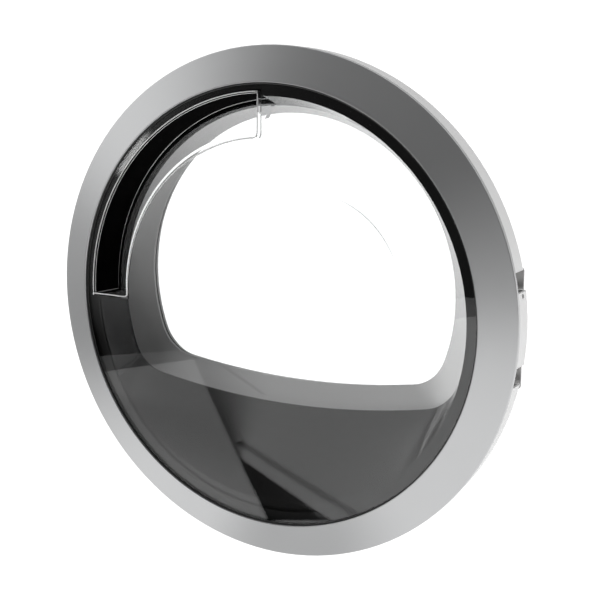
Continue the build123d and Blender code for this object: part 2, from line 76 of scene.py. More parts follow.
towards = Vector((
    math.sin(CAMERA_AZIMUTH) * math.cos(CAMERA_ELEVATION),
    -math.cos(CAMERA_AZIMUTH) * math.cos(CAMERA_ELEVATION),
    math.sin(CAMERA_ELEVATION),
))
rightwards = Vector((math.cos(CAMERA_AZIMUTH), math.sin(CAMERA_AZIMUTH), 0))
upwards = towards.cross(rightwards)
aim = (
    -towards
    + rightwards * ((PICTURE / 2 - CENTRE_PIXEL[0]) / FOCAL_PIXELS)
    + upwards * ((CENTRE_PIXEL[1] - PICTURE / 2) / FOCAL_PIXELS)
)
camera = bpy.data.objects.new("camera", bpy.data.cameras.new("camera"))
scene.collection.objects.link(camera)
camera.location = RING_CENTRE + towards * CAMERA_DISTANCE
camera.rotation_euler = aim.to_track_quat("-Z", "Y").to_euler()
camera.data.sensor_width = SENSOR
camera.data.lens = FOCAL_PIXELS * SENSOR / PICTURE
camera.data.clip_end = FAR_CLIP
scene.camera = camera
print("camera lens", round(camera.data.lens, 1), "mm at", [round(v, 3) for v in camera.location])

# %% [markdown]
# A finish is a small network of nodes. Wiring it by hand hides the idea, so a socket is wrapped in a
# class that knows plus, minus and times: an expression such as 0.3 + 0.1 * grain then adds the Math
# nodes by itself.

# %% Wires
class Wire:
    """A socket that takes part in Python expressions."""

    def __init__(self, finish, socket):
        self.finish = finish
        self.socket = socket

    def maths(self, operation, *values):
        return self.finish.add("ShaderNodeMath", {"operation": operation}, dict(enumerate(values)))["Value"]

    def __add__(self, other):
        return self.maths("ADD", self, other)

    def __sub__(self, other):
        return self.maths("SUBTRACT", self, other)

    def __rsub__(self, other):
        return self.maths("SUBTRACT", other, self)

    def __mul__(self, other):
        return self.maths("MULTIPLY", self, other)

    def __truediv__(self, other):
        return self.maths("DIVIDE", self, other)

    def __rtruediv__(self, other):
        return self.maths("DIVIDE", other, self)

    def __pow__(self, other):
        return self.maths("POWER", self, other)

    __radd__ = __add__
    __rmul__ = __mul__

    def size(self):
        return self.maths("ABSOLUTE", self)

    def __lt__(self, other):
        return self.maths("LESS_THAN", self, other)

    def __gt__(self, other):
        return self.maths("GREATER_THAN", self, other)

    def within(self, low, high):
        """0 at low, 1 at high, with a soft start and end."""
        settings = {"interpolation_type": "SMOOTHSTEP"}
        return self.finish.add("ShaderNodeMapRange", settings, {
            "Value": self, "From Min": low, "From Max": high, "To Min": 0.0, "To Max": 1.0,
        })["Result"]

    def between(self, rise, fall):
        """1 between a soft rise and a soft fall, 0 outside them."""
        return self.within(*rise) * (1 - self.within(*fall))


print("wires ready")

# %% [markdown]
# A finish owns the tree of nodes. One method adds any node: its settings first, then what goes into its
# sockets. The other methods are short ways to ask for what most finishes here need: a place on the piece,
# soft spots, a mix of two colours, a bump. Node groups could hold these too, but methods are easier to read.

# %% Finishes
NO_BOUNCE = 0.5


class Finish:
    """A node tree under construction, for a material or for the studio's surroundings."""

    def __init__(self, tree):
        self.tree = tree
        tree.nodes.clear()

    def add(self, kind, settings=None, sockets=None):
        """Adds one node and returns its outputs by name."""
        node = self.tree.nodes.new(kind)
        for name, value in (settings or {}).items():
            setattr(node, name, value)
        for key, value in (sockets or {}).items():
            usable = [s for s in node.inputs if s.enabled]
            socket = usable[key] if isinstance(key, int) else next(s for s in usable if s.name == key)
            if isinstance(value, Wire):
                self.tree.links.new(value.socket, socket)
            else:
                socket.default_value = value
        return {s.name: Wire(self, s) for s in node.outputs if s.enabled}

    def place(self):
        """Position on the piece, in metres of the shared frame."""
        return self.add("ShaderNodeTexCoord")["Object"]

    def axes(self):
        """The three parts of that position."""
        return self.add("ShaderNodeSeparateXYZ", {}, {"Vector": self.place()})

    def noise(self, spots, detail):
        """Soft random spots, counted along a metre."""
        sockets = {"Vector": self.place(), "Scale": spots, "Detail": detail}
        return self.add("ShaderNodeTexNoise", {"noise_dimensions": "3D"}, sockets)["Fac"]

    def mix(self, share, first, second):
        """From the first colour to the second."""
        settings = {"data_type": "RGBA"}
        return self.add("ShaderNodeMix", settings, {"Factor": share, "A": first, "B": second})["Result"]

    def seen_straight(self):
        """1 where the eye looks directly or through clear panes, 0 in mirrors and bounced light."""
        path = self.add("ShaderNodeLightPath")
        unbounced = (path["Glossy Depth"] < NO_BOUNCE) * (path["Diffuse Depth"] < NO_BOUNCE)
        return path["Is Camera Ray"] + path["Is Transmission Ray"] * unbounced

    def bump(self, height, rise):
        """Tilts the shading as if the surface rose by height times rise, in metres."""
        sockets = {"Height": height, "Distance": rise, "Strength": 1.0}
        return self.add("ShaderNodeBump", {}, sockets)["Normal"]


def grey(value, warmth=0.0):
    """A near-neutral colour; a negative warmth is a touch bluer."""
    return (value * (1 + warmth), value, value * (1 - warmth), 1.0)


def new_finish(name):
    material = bpy.data.materials.new(name)
    material.use_nodes = True
    return material, Finish(material.node_tree)


def surface(finish, sockets):
    """The usual shader, wired straight to the material's output."""
    shader = finish.add("ShaderNodeBsdfPrincipled", {}, sockets)["BSDF"]
    finish.add("ShaderNodeOutputMaterial", {}, {"Surface": shader})


print("finishes ready")

# %% [markdown]
# The studio is a pale floor with soft light. A shiny ring and a clear pane show what stands around them,
# so most of their look comes from the surroundings: bright on the left, dark in front, faint above, white
# behind. A small softbox at the left draws the bright patch on the pane's border, with a dim glow round it,
# and a glow from low on the right brightens the lower rim. Panels could be hung around the door, but a
# formula of direction is easier to shift. The camera itself sees plain white.

# %% Surroundings
FRONT_DARK = 0.02
ABOVE_GLOW = 0.26
ABOVE_RISE = (0.10, 0.60)
LEFT_BRIGHT = 1.36
LEFT_RISE = (0.42, 0.95)
LEFT_FOOT = (-0.12, 0.15)
HORIZON_GLOW = 0.60
HORIZON_WIDE = ((0.0, 0.25), (0.45, 0.75))
HORIZON_TALL = ((-0.35, -0.15), (0.05, 0.35))
SOFTBOX = 4.2
SOFTBOX_WIDE = ((0.600, 0.612), (0.634, 0.644))
SOFTBOX_TALL = ((0.034, 0.046), (0.076, 0.086))
BORDER_GLOW = 0.22
BORDER_WIDE = ((0.54, 0.61), (0.66, 0.72))
BORDER_TALL = ((-0.02, 0.03), (0.18, 0.24))
BEHIND_SIDE = 1.50
BEHIND_DEEP = 0.50
BEHIND_RISE = (-0.20, 0.45)
DEEP_RISE = (0.45, 0.80)
LOW_RIGHT = 2.6
LOW_RIGHT_WIDE = (0.30, 0.60)
LOW_RIGHT_TALL = (0.05, 0.50)
ABREAST = ((-0.20, 0.0), (0.15, 0.45))
CAMERA_WHITE = 1.2

world = bpy.data.worlds.new("studio")
world.use_nodes = True
scene.world = world
sky = Finish(world.node_tree)
along = sky.add("ShaderNodeSeparateXYZ", {}, {"Vector": sky.add("ShaderNodeTexCoord")["Generated"]})
leftward = 0.0 - along["X"]
downward = 0.0 - along["Z"]
left = leftward.within(*LEFT_RISE) * along["Z"].within(*LEFT_FOOT)
horizon = along["X"].between(*HORIZON_WIDE) * along["Z"].between(*HORIZON_TALL)
softbox = leftward.between(*SOFTBOX_WIDE) * downward.between(*SOFTBOX_TALL)
border = leftward.between(*BORDER_WIDE) * downward.between(*BORDER_TALL)
glow = FRONT_DARK + ABOVE_GLOW * along["Z"].within(*ABOVE_RISE) + LEFT_BRIGHT * left
glow = glow + HORIZON_GLOW * horizon + SOFTBOX * softbox + BORDER_GLOW * border
behind = along["Y"].within(*BEHIND_RISE)
astern = BEHIND_SIDE + (BEHIND_DEEP - BEHIND_SIDE) * along["Y"].within(*DEEP_RISE)
glow = glow * (1 - behind) + astern * behind
low_right = along["X"].within(*LOW_RIGHT_WIDE) * downward.within(*LOW_RIGHT_TALL)
glow = glow + LOW_RIGHT * low_right * along["Y"].between(*ABREAST)
seen = sky.seen_straight()
strength = glow * (1 - seen) + CAMERA_WHITE * seen
shining = sky.add("ShaderNodeBackground", {}, {"Color": grey(1.0), "Strength": strength})
sky.add("ShaderNodeOutputWorld", {}, {"Surface": shining["Background"]})
scene.view_settings.view_transform = "Standard"
scene.view_settings.look = "None"
print("surroundings of", len(world.node_tree.nodes), "nodes")

# %% [markdown]
# The pale floor glows by itself, so the door casts no hard shadow on it. Its glow is dimmed in stretches,
# which are painted shade: the door's shadow close to where it stands, a soft shade on the left and a shade
# on both sides of a gap, and dark lines painted along a slit, a thread and a step. The pane mirrors them in
# its lower half, and the ring's lower side mirrors the shade at its foot. Strips of card could lie there
# instead, but only mirrors are to show the shapes, and to the eye the floor is plain. Floor points are in
# millimetres from the ring's middle, other floor lengths in metres.

# %% Floor finish
PER_METRE = 1000
FLOOR_GLOW = 1.18
FLOOR_PALE = 0.05
FLOOR_MOTTLED = 0.97
FLOOR_SPOTS = 0.8
FLOOR_ROUGHNESS = 0.9
FRONT_FADE = (0.0, 0.15)
LEFT_DIM = 0.72
LEFT_SPREAD = (0.20, 0.85)
LEFT_END = (0.31, 0.36)
CONTACT_SHADOW_DIM = 0.33
CONTACT_X = 0.02
CONTACT_SPREAD = (0.03, 0.13)
WEDGE_TIP = (-44, -66)
SEAM_DIM = 0.85
SEAM_START = 0.19
SEAM_SPREAD = 0.35
SEAM_END = (-480, -572)
SHADE_DIM = 0.25
SHADE_SPREAD = (0.0, 0.22)
SHADE_START = (0.12, 0.25)
STEP_DIM = 0.62
STEP_EDGE = (0.0, 0.004)
STEP_START = (0.38, 0.42)
STEP_NEAR = (-488, -560)
STEP_FAR = (-558, -429)
SLIT_DIM = 0.45
SLIT_EDGE = (0.002, 0.010)
SLIT_SPAN = (-0.20, 0.06)
SLIT_NEAR = (43, -111)
SLIT_FAR = (-199, -262)
THREAD_DIM = 0.60
THREAD_EDGE = (0.001, 0.005)
THREAD_AHEAD = 0.46
THREAD_LEFT = -0.44
THREAD_NEAR = (-292, -472)
THREAD_FAR = (-430, -576)

pale, finish = new_finish("pale_floor")
mottle = finish.noise(FLOOR_SPOTS, detail=2.0)
spot = finish.axes()
across = spot["X"] - RING_CENTRE.x
depth = spot["Y"] - RING_CENTRE.y
ahead = 0.0 - depth


def beside(first, second):
    """Distance from the line through two floor points, positive on the right on the way to the second."""
    run = Vector((second[0] - first[0], second[1] - first[1])).normalized()
    return (across - first[0] / PER_METRE) * run.y - (depth - first[1] / PER_METRE) * run.x


contact = ((across - CONTACT_X) ** 2.0 + depth ** 2.0) ** 0.5
step = beside(STEP_FAR, STEP_NEAR)
seam = beside(WEDGE_TIP, SEAM_END)
slit = beside(SLIT_NEAR, SLIT_FAR).size()
thread = beside(THREAD_NEAR, THREAD_FAR).size()
seam_fade = (seam / (ahead - SEAM_START)).within(-SEAM_SPREAD, 0.0)
slit_span = (across < SLIT_SPAN[1]) * (across > SLIT_SPAN[0])
thread_span = (ahead > THREAD_AHEAD) * (across > THREAD_LEFT)
# Painted shade in the floor's glow: the soft shade on the left, the door's shadow at its foot and the shade
# beside the gap; step, thread and slit are painted dark lines.
painted_floor_shade = LEFT_DIM * (0.0 - across).within(*LEFT_SPREAD) * (1 - ahead.within(*LEFT_END))
painted_floor_shade = painted_floor_shade + CONTACT_SHADOW_DIM * (1 - contact.within(*CONTACT_SPREAD))
painted_floor_shade = painted_floor_shade + STEP_DIM * step.within(*STEP_EDGE) * ahead.within(*STEP_START)
painted_floor_shade = painted_floor_shade + SEAM_DIM * seam_fade * (seam < 0.0) * (ahead > SEAM_START)
painted_floor_shade = painted_floor_shade + THREAD_DIM * (1 - thread.within(*THREAD_EDGE)) * thread_span
painted_floor_shade = painted_floor_shade + SHADE_DIM * (1 - seam.within(*SHADE_SPREAD)) * (seam > 0.0) * ahead.within(*SHADE_START)
painted_floor_shade = painted_floor_shade + SLIT_DIM * (1 - slit.within(*SLIT_EDGE)) * slit_span
mirrored = (1 - finish.seen_straight()) * (1 - depth.within(*FRONT_FADE))
surface(finish, {
    "Base Color": finish.mix(mottle, grey(FLOOR_PALE), grey(FLOOR_PALE * FLOOR_MOTTLED)),
    "Roughness": FLOOR_ROUGHNESS,
    "Specular IOR Level": 0.0,
    "Emission Color": finish.mix(mirrored * painted_floor_shade, grey(1.0), grey(0.0)),
    "Emission Strength": FLOOR_GLOW,
})
print("floor finish of", len(pale.node_tree.nodes), "nodes")

# %% [markdown]
# The floor stretches far behind the door and to the right, but in front it ends in an edge: the pane mirrors
# that edge, and above it the border stays black. A narrow gap between the floor's two halves leaves the dark
# wedge in the pane's lower half; the gap is a painted shadow, standing for the deepest part of the door's
# own shadow on the floor. The gap could be painted on one plane, but two halves give it a crisp edge.

# %% Floor halves
FLOOR_GAP = 0.0005
FLOOR_HEIGHT = ring_low.z - FLOOR_GAP
FLOOR_REACH = 30000
# The wedge left open between the two halves is a painted shadow: the darkest part of the door's shadow.
WEDGE_SIDE = (16, -93)
WEDGE_END = (-174, -217)
LEFT_CORNERS = [(-535, -609), (-628, -499), (-690, -400), (-1050, -450), (-FLOOR_REACH, -8000)]
RIGHT_CORNERS = [(FLOOR_REACH, -1150), (600, -1150), (-255, -1355)]


def on_floor(x, y):
    """A floor point in the shared frame."""
    return (RING_CENTRE.x + x / PER_METRE, RING_CENTRE.y + y / PER_METRE, FLOOR_HEIGHT)


def floor_piece(name, corners):
    """A flat piece of floor that mirrors show, but that neither lights nor shades the door."""
    mesh = bpy.data.meshes.new(name)
    mesh.from_pydata([on_floor(x, y) for x, y in corners], [], [list(range(len(corners)))])
    piece = bpy.data.objects.new(name, mesh)
    scene.collection.objects.link(piece)
    piece.data.materials.append(pale)
    piece.visible_diffuse = False
    piece.visible_shadow = False


far_tip = (WEDGE_TIP[0], FLOOR_REACH)
floor_piece("floor_left", [WEDGE_TIP, SEAM_END] + LEFT_CORNERS + [(-FLOOR_REACH, FLOOR_REACH), far_tip])
floor_piece("floor_right", [WEDGE_TIP, far_tip, (FLOOR_REACH, FLOOR_REACH)] + RIGHT_CORNERS + [
    SEAM_END, WEDGE_END, WEDGE_SIDE,
])
print("floor at", round(FLOOR_HEIGHT, 4))

# %% [markdown]
# Two big soft lamps light the inside of the door. The key stands at the left in front: it lights the walls
# of the funnel that look that way and leaves the wall on the left dark, as in the photograph. The bounce
# comes up through the floor, as light does from a pale table. Both are kept out of mirror reflections,
# because the surroundings already draw those, and light linking keeps both off the white rim, which they
# would wash out from behind.

# %% Lamps
KEY_FROM = Vector((-0.82, -0.52, 0.15))
KEY_DISTANCE = 2.2
KEY_SIZE = 1.1
KEY_POWER = 38
BOUNCE_FROM = Vector((-0.50, -0.50, -0.70))
BOUNCE_DISTANCE = 1.5
BOUNCE_SIZE = 0.9
BOUNCE_POWER = 58


def soft_lamp(name, from_direction, distance, size, power):
    """A round area lamp that shines at the ring's middle and stays out of mirrors."""
    light = bpy.data.lights.new(name, "AREA")
    light.shape = "DISK"
    light.size = size
    light.energy = power
    lamp = bpy.data.objects.new(name, light)
    scene.collection.objects.link(lamp)
    lamp.location = RING_CENTRE + from_direction.normalized() * distance
    lamp.rotation_euler = (-from_direction).to_track_quat("-Z", "Y").to_euler()
    lamp.visible_glossy = False
    lamp.visible_transmission = False
    return lamp


key = soft_lamp("key", KEY_FROM, KEY_DISTANCE, KEY_SIZE, KEY_POWER)
bounce = soft_lamp("bounce", BOUNCE_FROM, BOUNCE_DISTANCE, BOUNCE_SIZE, BOUNCE_POWER)
shielded = bpy.data.collections.new("shielded_from_lamps")
shielded.objects.link(nodes["rim_cover"])
shielded.collection_objects[0].light_linking.link_state = "EXCLUDE"
key.light_linking.receiver_collection = shielded
bounce.light_linking.receiver_collection = shielded
print("lamps", key.name, bounce.name)

# %% [markdown]
# The ring is satin silver: metal-coated plastic with a very fine grain that blurs the studio into soft
# bands. A real brushed look would need long scratches, but the photograph shows none, so a fine even
# grain and slow clouds in the roughness are enough.

# %% Silver ring
SILVER = 0.47
SILVER_CLOUDED = 1.06
SILVER_COOL = -0.008
SILVER_ROUGHNESS = 0.30
SILVER_GRAIN_SPOTS = 2600.0
SILVER_CLOUD_SPOTS = 18.0
SILVER_GRAIN_RISE = 0.000006
SILVER_GRAIN_BLUR = 0.05
SILVER_CLOUD_BLUR = 0.04

silver, finish = new_finish("satin_silver")
grain = finish.noise(SILVER_GRAIN_SPOTS, detail=2.0)
clouds = finish.noise(SILVER_CLOUD_SPOTS, detail=3.0)
surface(finish, {
    "Base Color": finish.mix(clouds, grey(SILVER, SILVER_COOL), grey(SILVER * SILVER_CLOUDED, SILVER_COOL)),
    "Metallic": 1.0,
    "Roughness": SILVER_ROUGHNESS + SILVER_GRAIN_BLUR * grain + SILVER_CLOUD_BLUR * clouds,
    "Normal": finish.bump(grain, SILVER_GRAIN_RISE),
})
print("finish", silver.name)

# %% [markdown]
# Pane, pocket and bowl are clear plastic or glass. The shader lets light bend through, with a little
# smudging in the roughness where hands touch. Real walls bend light twice and nearly cancel it, so the
# pocket's thin walls and the bowl get a lower bend than the pane. The pocket's outer wall is painted matt
# black, a painted shade for the dark hollow behind the ring that is seen through it. Lamps would cast a dark
# shadow behind all this, so shadow rays and diffuse rays pass straight through: the Light Path node tells
# them apart.

# %% Clear pane
CLEAR_BEND = 1.46
BOWL_BEND = 1.12
THIN_BEND = 1.04
CLEAR_TINT = (0.985, 0.99, 0.99, 1.0)
CLEAR_ROUGHNESS = 0.003
THIN_ROUGHNESS = 0.01
SMUDGE_SPOTS = 14.0
SMUDGE_SPAN = (0.52, 0.80)
SMUDGE_BLUR = 0.010
SHADOW_CLEAR = 0.96
PANE_FRONT = 0.003
THIN_DEPTH = 0.0064
WALL_TOP = 0.199
WALL_LEAN = 8.0 / 31.0
WALL_NEAR = 0.0006
WALL_DEPTH = 0.0036
POCKET_TOP_END = -0.0111
POCKET_LOW_END = -0.0041
WALL_SHADE_BLACK = 0.002
WALL_SHADE_ROUGHNESS = 0.8


def clear_shader(finish, bend, roughness):
    sockets = {"Base Color": CLEAR_TINT, "Roughness": roughness, "IOR": bend, "Transmission Weight": 1.0}
    return finish.add("ShaderNodeBsdfPrincipled", {}, sockets)["BSDF"]


def blend(finish, share, first, second):
    return finish.add("ShaderNodeMixShader", {}, {0: share, 1: first, 2: second})["Shader"]


def with_pocket(finish, shader):
    """The pane's shader with the pocket's thin walls, the outer one painted black as shade."""
    spot = finish.axes()
    across = spot["X"] - RING_CENTRE.x
    depth = spot["Y"] - RING_CENTRE.y
    reach = (across ** 2.0 + spot["Z"] ** 2.0) ** 0.5
    off_wall = (reach + WALL_LEAN * (depth - PANE_FRONT) - WALL_TOP).size()
    on_wall = (off_wall < WALL_NEAR) * (depth > WALL_DEPTH)
    # Painted shade: the outer wall is matt black where the dark hollow behind the ring shows through it.
    wall_shade_mask = on_wall * (across < POCKET_TOP_END) * (spot["Z"] > POCKET_LOW_END)
    wall_shade = finish.add("ShaderNodeBsdfPrincipled", {}, {
        "Base Color": grey(WALL_SHADE_BLACK), "Roughness": WALL_SHADE_ROUGHNESS, "Specular IOR Level": 0.0,
    })["BSDF"]
    shader = blend(finish, depth > THIN_DEPTH, shader, clear_shader(finish, THIN_BEND, THIN_ROUGHNESS))
    return blend(finish, wall_shade_mask, shader, wall_shade)


def clear_plastic(name, bend, pocket=False):
    material, finish = new_finish(name)
    smudge = finish.noise(SMUDGE_SPOTS, detail=4.0).within(*SMUDGE_SPAN)
    shader = clear_shader(finish, bend, CLEAR_ROUGHNESS + SMUDGE_BLUR * smudge)
    if pocket:
        shader = with_pocket(finish, shader)
    passing = finish.add("ShaderNodeBsdfTransparent", {}, {"Color": grey(SHADOW_CLEAR)})["BSDF"]
    path = finish.add("ShaderNodeLightPath")
    mixed = blend(finish, path["Is Shadow Ray"] + path["Is Diffuse Ray"], shader, passing)
    finish.add("ShaderNodeOutputMaterial", {}, {"Surface": mixed})
    return material


clear = clear_plastic("clear_pane", CLEAR_BEND)
clear_wall_shaded = clear_plastic("clear_pane_wall_shade", CLEAR_BEND, pocket=True)
clear_bowl = clear_plastic("clear_pane_bowl", BOWL_BEND)
print("finishes", clear.name, clear_wall_shaded.name, clear_bowl.name)

# %% [markdown]
# The frame behind the pane is gloss black plastic. It mirrors the studio, with the slight waviness that
# moulded gloss always has and a scatter of hairline rubs in the roughness.

# %% Black gloss
BLACK_LOW = 0.003
BLACK_HIGH = 0.005
BLACK_ROUGHNESS = 0.05
WAVE_SPOTS = 25.0
WAVE_RISE = 0.000004
RUB_SPOTS = 420.0
RUB_SPAN = (0.55, 0.75)
RUB_BLUR = 0.015
BLACK_SHINE = 0.25

black, finish = new_finish("black_gloss")
wave = finish.noise(WAVE_SPOTS, detail=1.0)
rubs = finish.noise(RUB_SPOTS, detail=6.0).within(*RUB_SPAN)
surface(finish, {
    "Base Color": finish.mix(wave, grey(BLACK_LOW), grey(BLACK_HIGH)),
    "Roughness": BLACK_ROUGHNESS + RUB_BLUR * rubs,
    "Specular IOR Level": BLACK_SHINE,
    "Normal": finish.bump(wave, WAVE_RISE),
})
print("finish", black.name)

# %% [markdown]
# The funnel is dark grey satin plastic with a fine spark-eroded grain. The grain is a bump far smaller
# than a millimetre, and it also lifts the roughness a little.

# %% Grey liner
LINER = 0.25
LINER_HAZE = 0.06
LINER_ROUGHNESS = 0.24
PEBBLE_SPOTS = 1500.0
PEBBLE_RISE = 0.000025
PEBBLE_BLUR = 0.06
HAZE_SPOTS = 9.0
HAZE_BLUR = 0.03

liner, finish = new_finish("liner_grey")
pebble = finish.noise(PEBBLE_SPOTS, detail=4.0)
haze = finish.noise(HAZE_SPOTS, detail=2.0)
surface(finish, {
    "Base Color": finish.mix(haze, grey(LINER * (1 - LINER_HAZE)), grey(LINER * (1 + LINER_HAZE))),
    "Roughness": LINER_ROUGHNESS + PEBBLE_BLUR * pebble + HAZE_BLUR * haze,
    "Normal": finish.bump(pebble, PEBBLE_RISE),
})
print("finish", liner.name)

# %% [markdown]
# The rim that shows past the ring is white satin plastic, with the same kind of grain but finer, and a
# trace of warm handling marks.

# %% White rim
RIM = 0.88
RIM_HANDLED = 0.95
RIM_WARM = 0.006
RIM_ROUGHNESS = 0.30
RIM_GRAIN_SPOTS = 2200.0
RIM_GRAIN_RISE = 0.000012
RIM_GRAIN_BLUR = 0.08
HANDLING_SPOTS = 25.0
HANDLING_SPAN = (0.45, 0.85)
HANDLING_BLUR = 0.06

white, finish = new_finish("rim_white")
fine = finish.noise(RIM_GRAIN_SPOTS, detail=3.0)
handling = finish.noise(HANDLING_SPOTS, detail=4.0).within(*HANDLING_SPAN)
surface(finish, {
    "Base Color": finish.mix(handling, grey(RIM), grey(RIM * RIM_HANDLED, RIM_WARM)),
    "Roughness": RIM_ROUGHNESS + RIM_GRAIN_BLUR * fine + HANDLING_BLUR * handling,
    "Normal": finish.bump(fine, RIM_GRAIN_RISE),
})
print("finish", white.name)

# %% [markdown]
# Rubber is nearly black, rough and faintly dusty. The seal that meets the dryer is a softer grey than
# the two gaskets under the panes.

# %% Rubbers
RUBBER_ROUGHNESS = 0.58
RUBBER_GRAIN_SPOTS = 1800.0
RUBBER_GRAIN_RISE = 0.00003
RUBBER_GRAIN_BLUR = 0.20
DUST_SPOTS = 35.0
DUST_SPAN = (0.40, 0.90)


def rubber(name, dark, dusty):
    material, finish = new_finish(name)
    grain = finish.noise(RUBBER_GRAIN_SPOTS, detail=4.0)
    dust = finish.noise(DUST_SPOTS, detail=5.0).within(*DUST_SPAN)
    surface(finish, {
        "Base Color": finish.mix(dust, grey(dark), grey(dusty)),
        "Roughness": RUBBER_ROUGHNESS + RUBBER_GRAIN_BLUR * grain,
        "Normal": finish.bump(grain, RUBBER_GRAIN_RISE),
    })
    return material


seal = rubber("seal_rubber", dark=0.060, dusty=0.085)
gasket = rubber("black_rubber", dark=0.012, dusty=0.022)
print("finishes", seal.name, gasket.name)

# %% [markdown]
# Hinge and screws are plated metal. Zinc plating is cloudy in patches; a screw is brighter and smoother.

# %% Metals
PLATING_CLOUDED = 0.88
PLATING_WARM = 0.01
PLATING_GRAIN_SPOTS = 3000.0
PLATING_GRAIN_RISE = 0.000008
PLATING_GRAIN_BLUR = 0.05
PLATING_CLOUD_BLUR = 0.14


def plated(name, tone, roughness, patches):
    material, finish = new_finish(name)
    cloud = finish.noise(patches, detail=4.0)
    fine = finish.noise(PLATING_GRAIN_SPOTS, detail=2.0)
    surface(finish, {
        "Base Color": finish.mix(cloud, grey(tone * PLATING_CLOUDED), grey(tone, PLATING_WARM)),
        "Metallic": 1.0,
        "Roughness": roughness + PLATING_CLOUD_BLUR * cloud + PLATING_GRAIN_BLUR * fine,
        "Normal": finish.bump(fine, PLATING_GRAIN_RISE),
    })
    return material


zinc = plated("hinge_metal", tone=0.62, roughness=0.36, patches=160.0)
steel = plated("screw_steel", tone=0.66, roughness=0.20, patches=500.0)
print("finishes", zinc.name, steel.name)

# %% [markdown]
# The small mouldings are plain engineering plastics: off-white bushes, a black latch box and a grey hook.

# %% Small mouldings
MOULDING_FLOW = 0.93
MOULDING_FLOW_SPOTS = 45.0
MOULDING_GRAIN_SPOTS = 1600.0
MOULDING_GRAIN_RISE = 0.00002
MOULDING_GRAIN_BLUR = 0.12


def moulded(name, tone, warmth, roughness):
    material, finish = new_finish(name)
    grain = finish.noise(MOULDING_GRAIN_SPOTS, detail=4.0)
    flow = finish.noise(MOULDING_FLOW_SPOTS, detail=2.0)
    surface(finish, {
        "Base Color": finish.mix(flow, grey(tone * MOULDING_FLOW, warmth), grey(tone, warmth)),
        "Roughness": roughness + MOULDING_GRAIN_BLUR * grain,
        "Normal": finish.bump(grain, MOULDING_GRAIN_RISE),
    })
    return material


bush = moulded("bush_plastic", tone=0.70, warmth=0.04, roughness=0.36)
latch = moulded("latch_black", tone=0.020, warmth=0.0, roughness=0.40)
hook = moulded("hook_grey", tone=0.34, warmth=-0.01, roughness=0.34)
print("finishes", bush.name, latch.name, hook.name)

# %% [markdown]
# The record of the part says which finish every piece takes, so the pieces are dressed from that list
# and nothing can be forgotten. Pane and bowl then get their own kind of the clear finish.

# %% Dress the pieces
finishes = {
    "satin_silver": silver, "clear_pane": clear, "black_gloss": black, "liner_grey": liner,
    "rim_white": white, "seal_rubber": seal, "black_rubber": gasket, "hinge_metal": zinc,
    "screw_steel": steel, "bush_plastic": bush, "latch_black": latch, "hook_grey": hook,
}
dressed = 0
for entry in frame["record"]["subparts"]:
    piece = nodes[entry["node"]]
    piece.data.materials.clear()
    piece.data.materials.append(finishes[entry["material_slot"]])
    dressed += 1
nodes["front_window"].data.materials[0] = clear_wall_shaded
nodes["rear_window"].data.materials[0] = clear_bowl
print("dressed", dressed, "of", len(nodes))

# %% [markdown]
# The ring was turned in one piece, and where the turn closes its faces are shaded apart: a faint line on
# satin metal. It could be turned anew here, but three modifiers mend the shading and keep the solid's
# shape: doubled points are joined, sharp edges are split again, and large faces lead the shading.

# %% Ring shading
SEAM_GAP = 0.00001
SHARP_ANGLE = math.radians(30)

ring_modifiers = nodes["trim_ring"].modifiers
ring_modifiers.new("seam", "WELD").merge_threshold = SEAM_GAP
ring_modifiers.new("crisp", "EDGE_SPLIT").split_angle = SHARP_ANGLE
ring_modifiers.new("even", "WEIGHTED_NORMAL")
print("ring shading", [modifier.name for modifier in ring_modifiers])

# %% [markdown]
# Every screw on the back has a round head with a cross recess. The solids only have the plain head, so
# each group of screws is replaced by a finer one at the same place. The places could be typed in, but they
# are read from the solids: the points of one screw lie close together, and their box gives its axis and the
# radius of its head. Each kind of screw has the head's height and the shank's radius.

# %% Screw places
SMALL_SCREW = (0.0015, 0.0012)
LARGE_SCREW = (0.0022, 0.0020)
SCREW_KINDS = {
    "retainer_screws": SMALL_SCREW, "liner_screws": SMALL_SCREW, "latch_screws": SMALL_SCREW,
    "rim_screws": LARGE_SCREW, "carrier_screws": LARGE_SCREW,
}
SCREW_APART = 0.012


def screw_places(node):
    """Axis and head radius of every screw in a node, from the places of its points."""
    groups = []
    for vertex in nodes[node].data.vertices:
        flat = Vector((vertex.co.x, vertex.co.z))
        group = next((g for g in groups if (g[0] - flat).length < SCREW_APART), None)
        if group is None:
            groups.append([flat])
        else:
            group.append(flat)
    places = []
    for group in groups:
        low = Vector((min(p.x for p in group), min(p.y for p in group)))
        high = Vector((max(p.x for p in group), max(p.y for p in group)))
        places.append(((low + high) / 2, (high.x - low.x) / 2))
    return places


screws_at = {node: screw_places(node) for node in SCREW_KINDS}
print("screws", {node: len(found) for node, found in screws_at.items()})

# %% [markdown]
# A screw is a stack of rings: tip, ridges of the thread, crowned head. The head's top is a disc with a
# cross-shaped hole, filled as triangles, and the hole's outline is then drawn in towards the bottom of the
# recess. A boolean cut would do as well, but it leaves long thin faces. The sizes are shares of the head's
# height, the head's radius or the shank's radius; only the pitch of the ridges is a length.

# %% One screw
HEAD_TURNS = 32
HEAD_SEAT = 0.97
HEAD_CROWN = ((1.0, 0.06), (1.0, 0.42), (0.975, 0.62), (0.90, 0.80), (0.80, 0.91), (0.68, 0.97))
RIDGE_PITCH = 0.0009
RIDGE_START = 0.2
RIDGE_RISE = 0.45
SHANK_ROOT = 0.80
SHANK_TIP = 0.35
RECESS_TOP = (0.52, 0.115)
RECESS_FLOOR = (0.26, 0.085)
RECESS_DEPTH = 0.62


def ring_of(bm, radius, height):
    steps = [2 * math.pi * i / HEAD_TURNS for i in range(HEAD_TURNS)]
    return [bm.verts.new((radius * math.cos(a), height, radius * math.sin(a))) for a in steps]


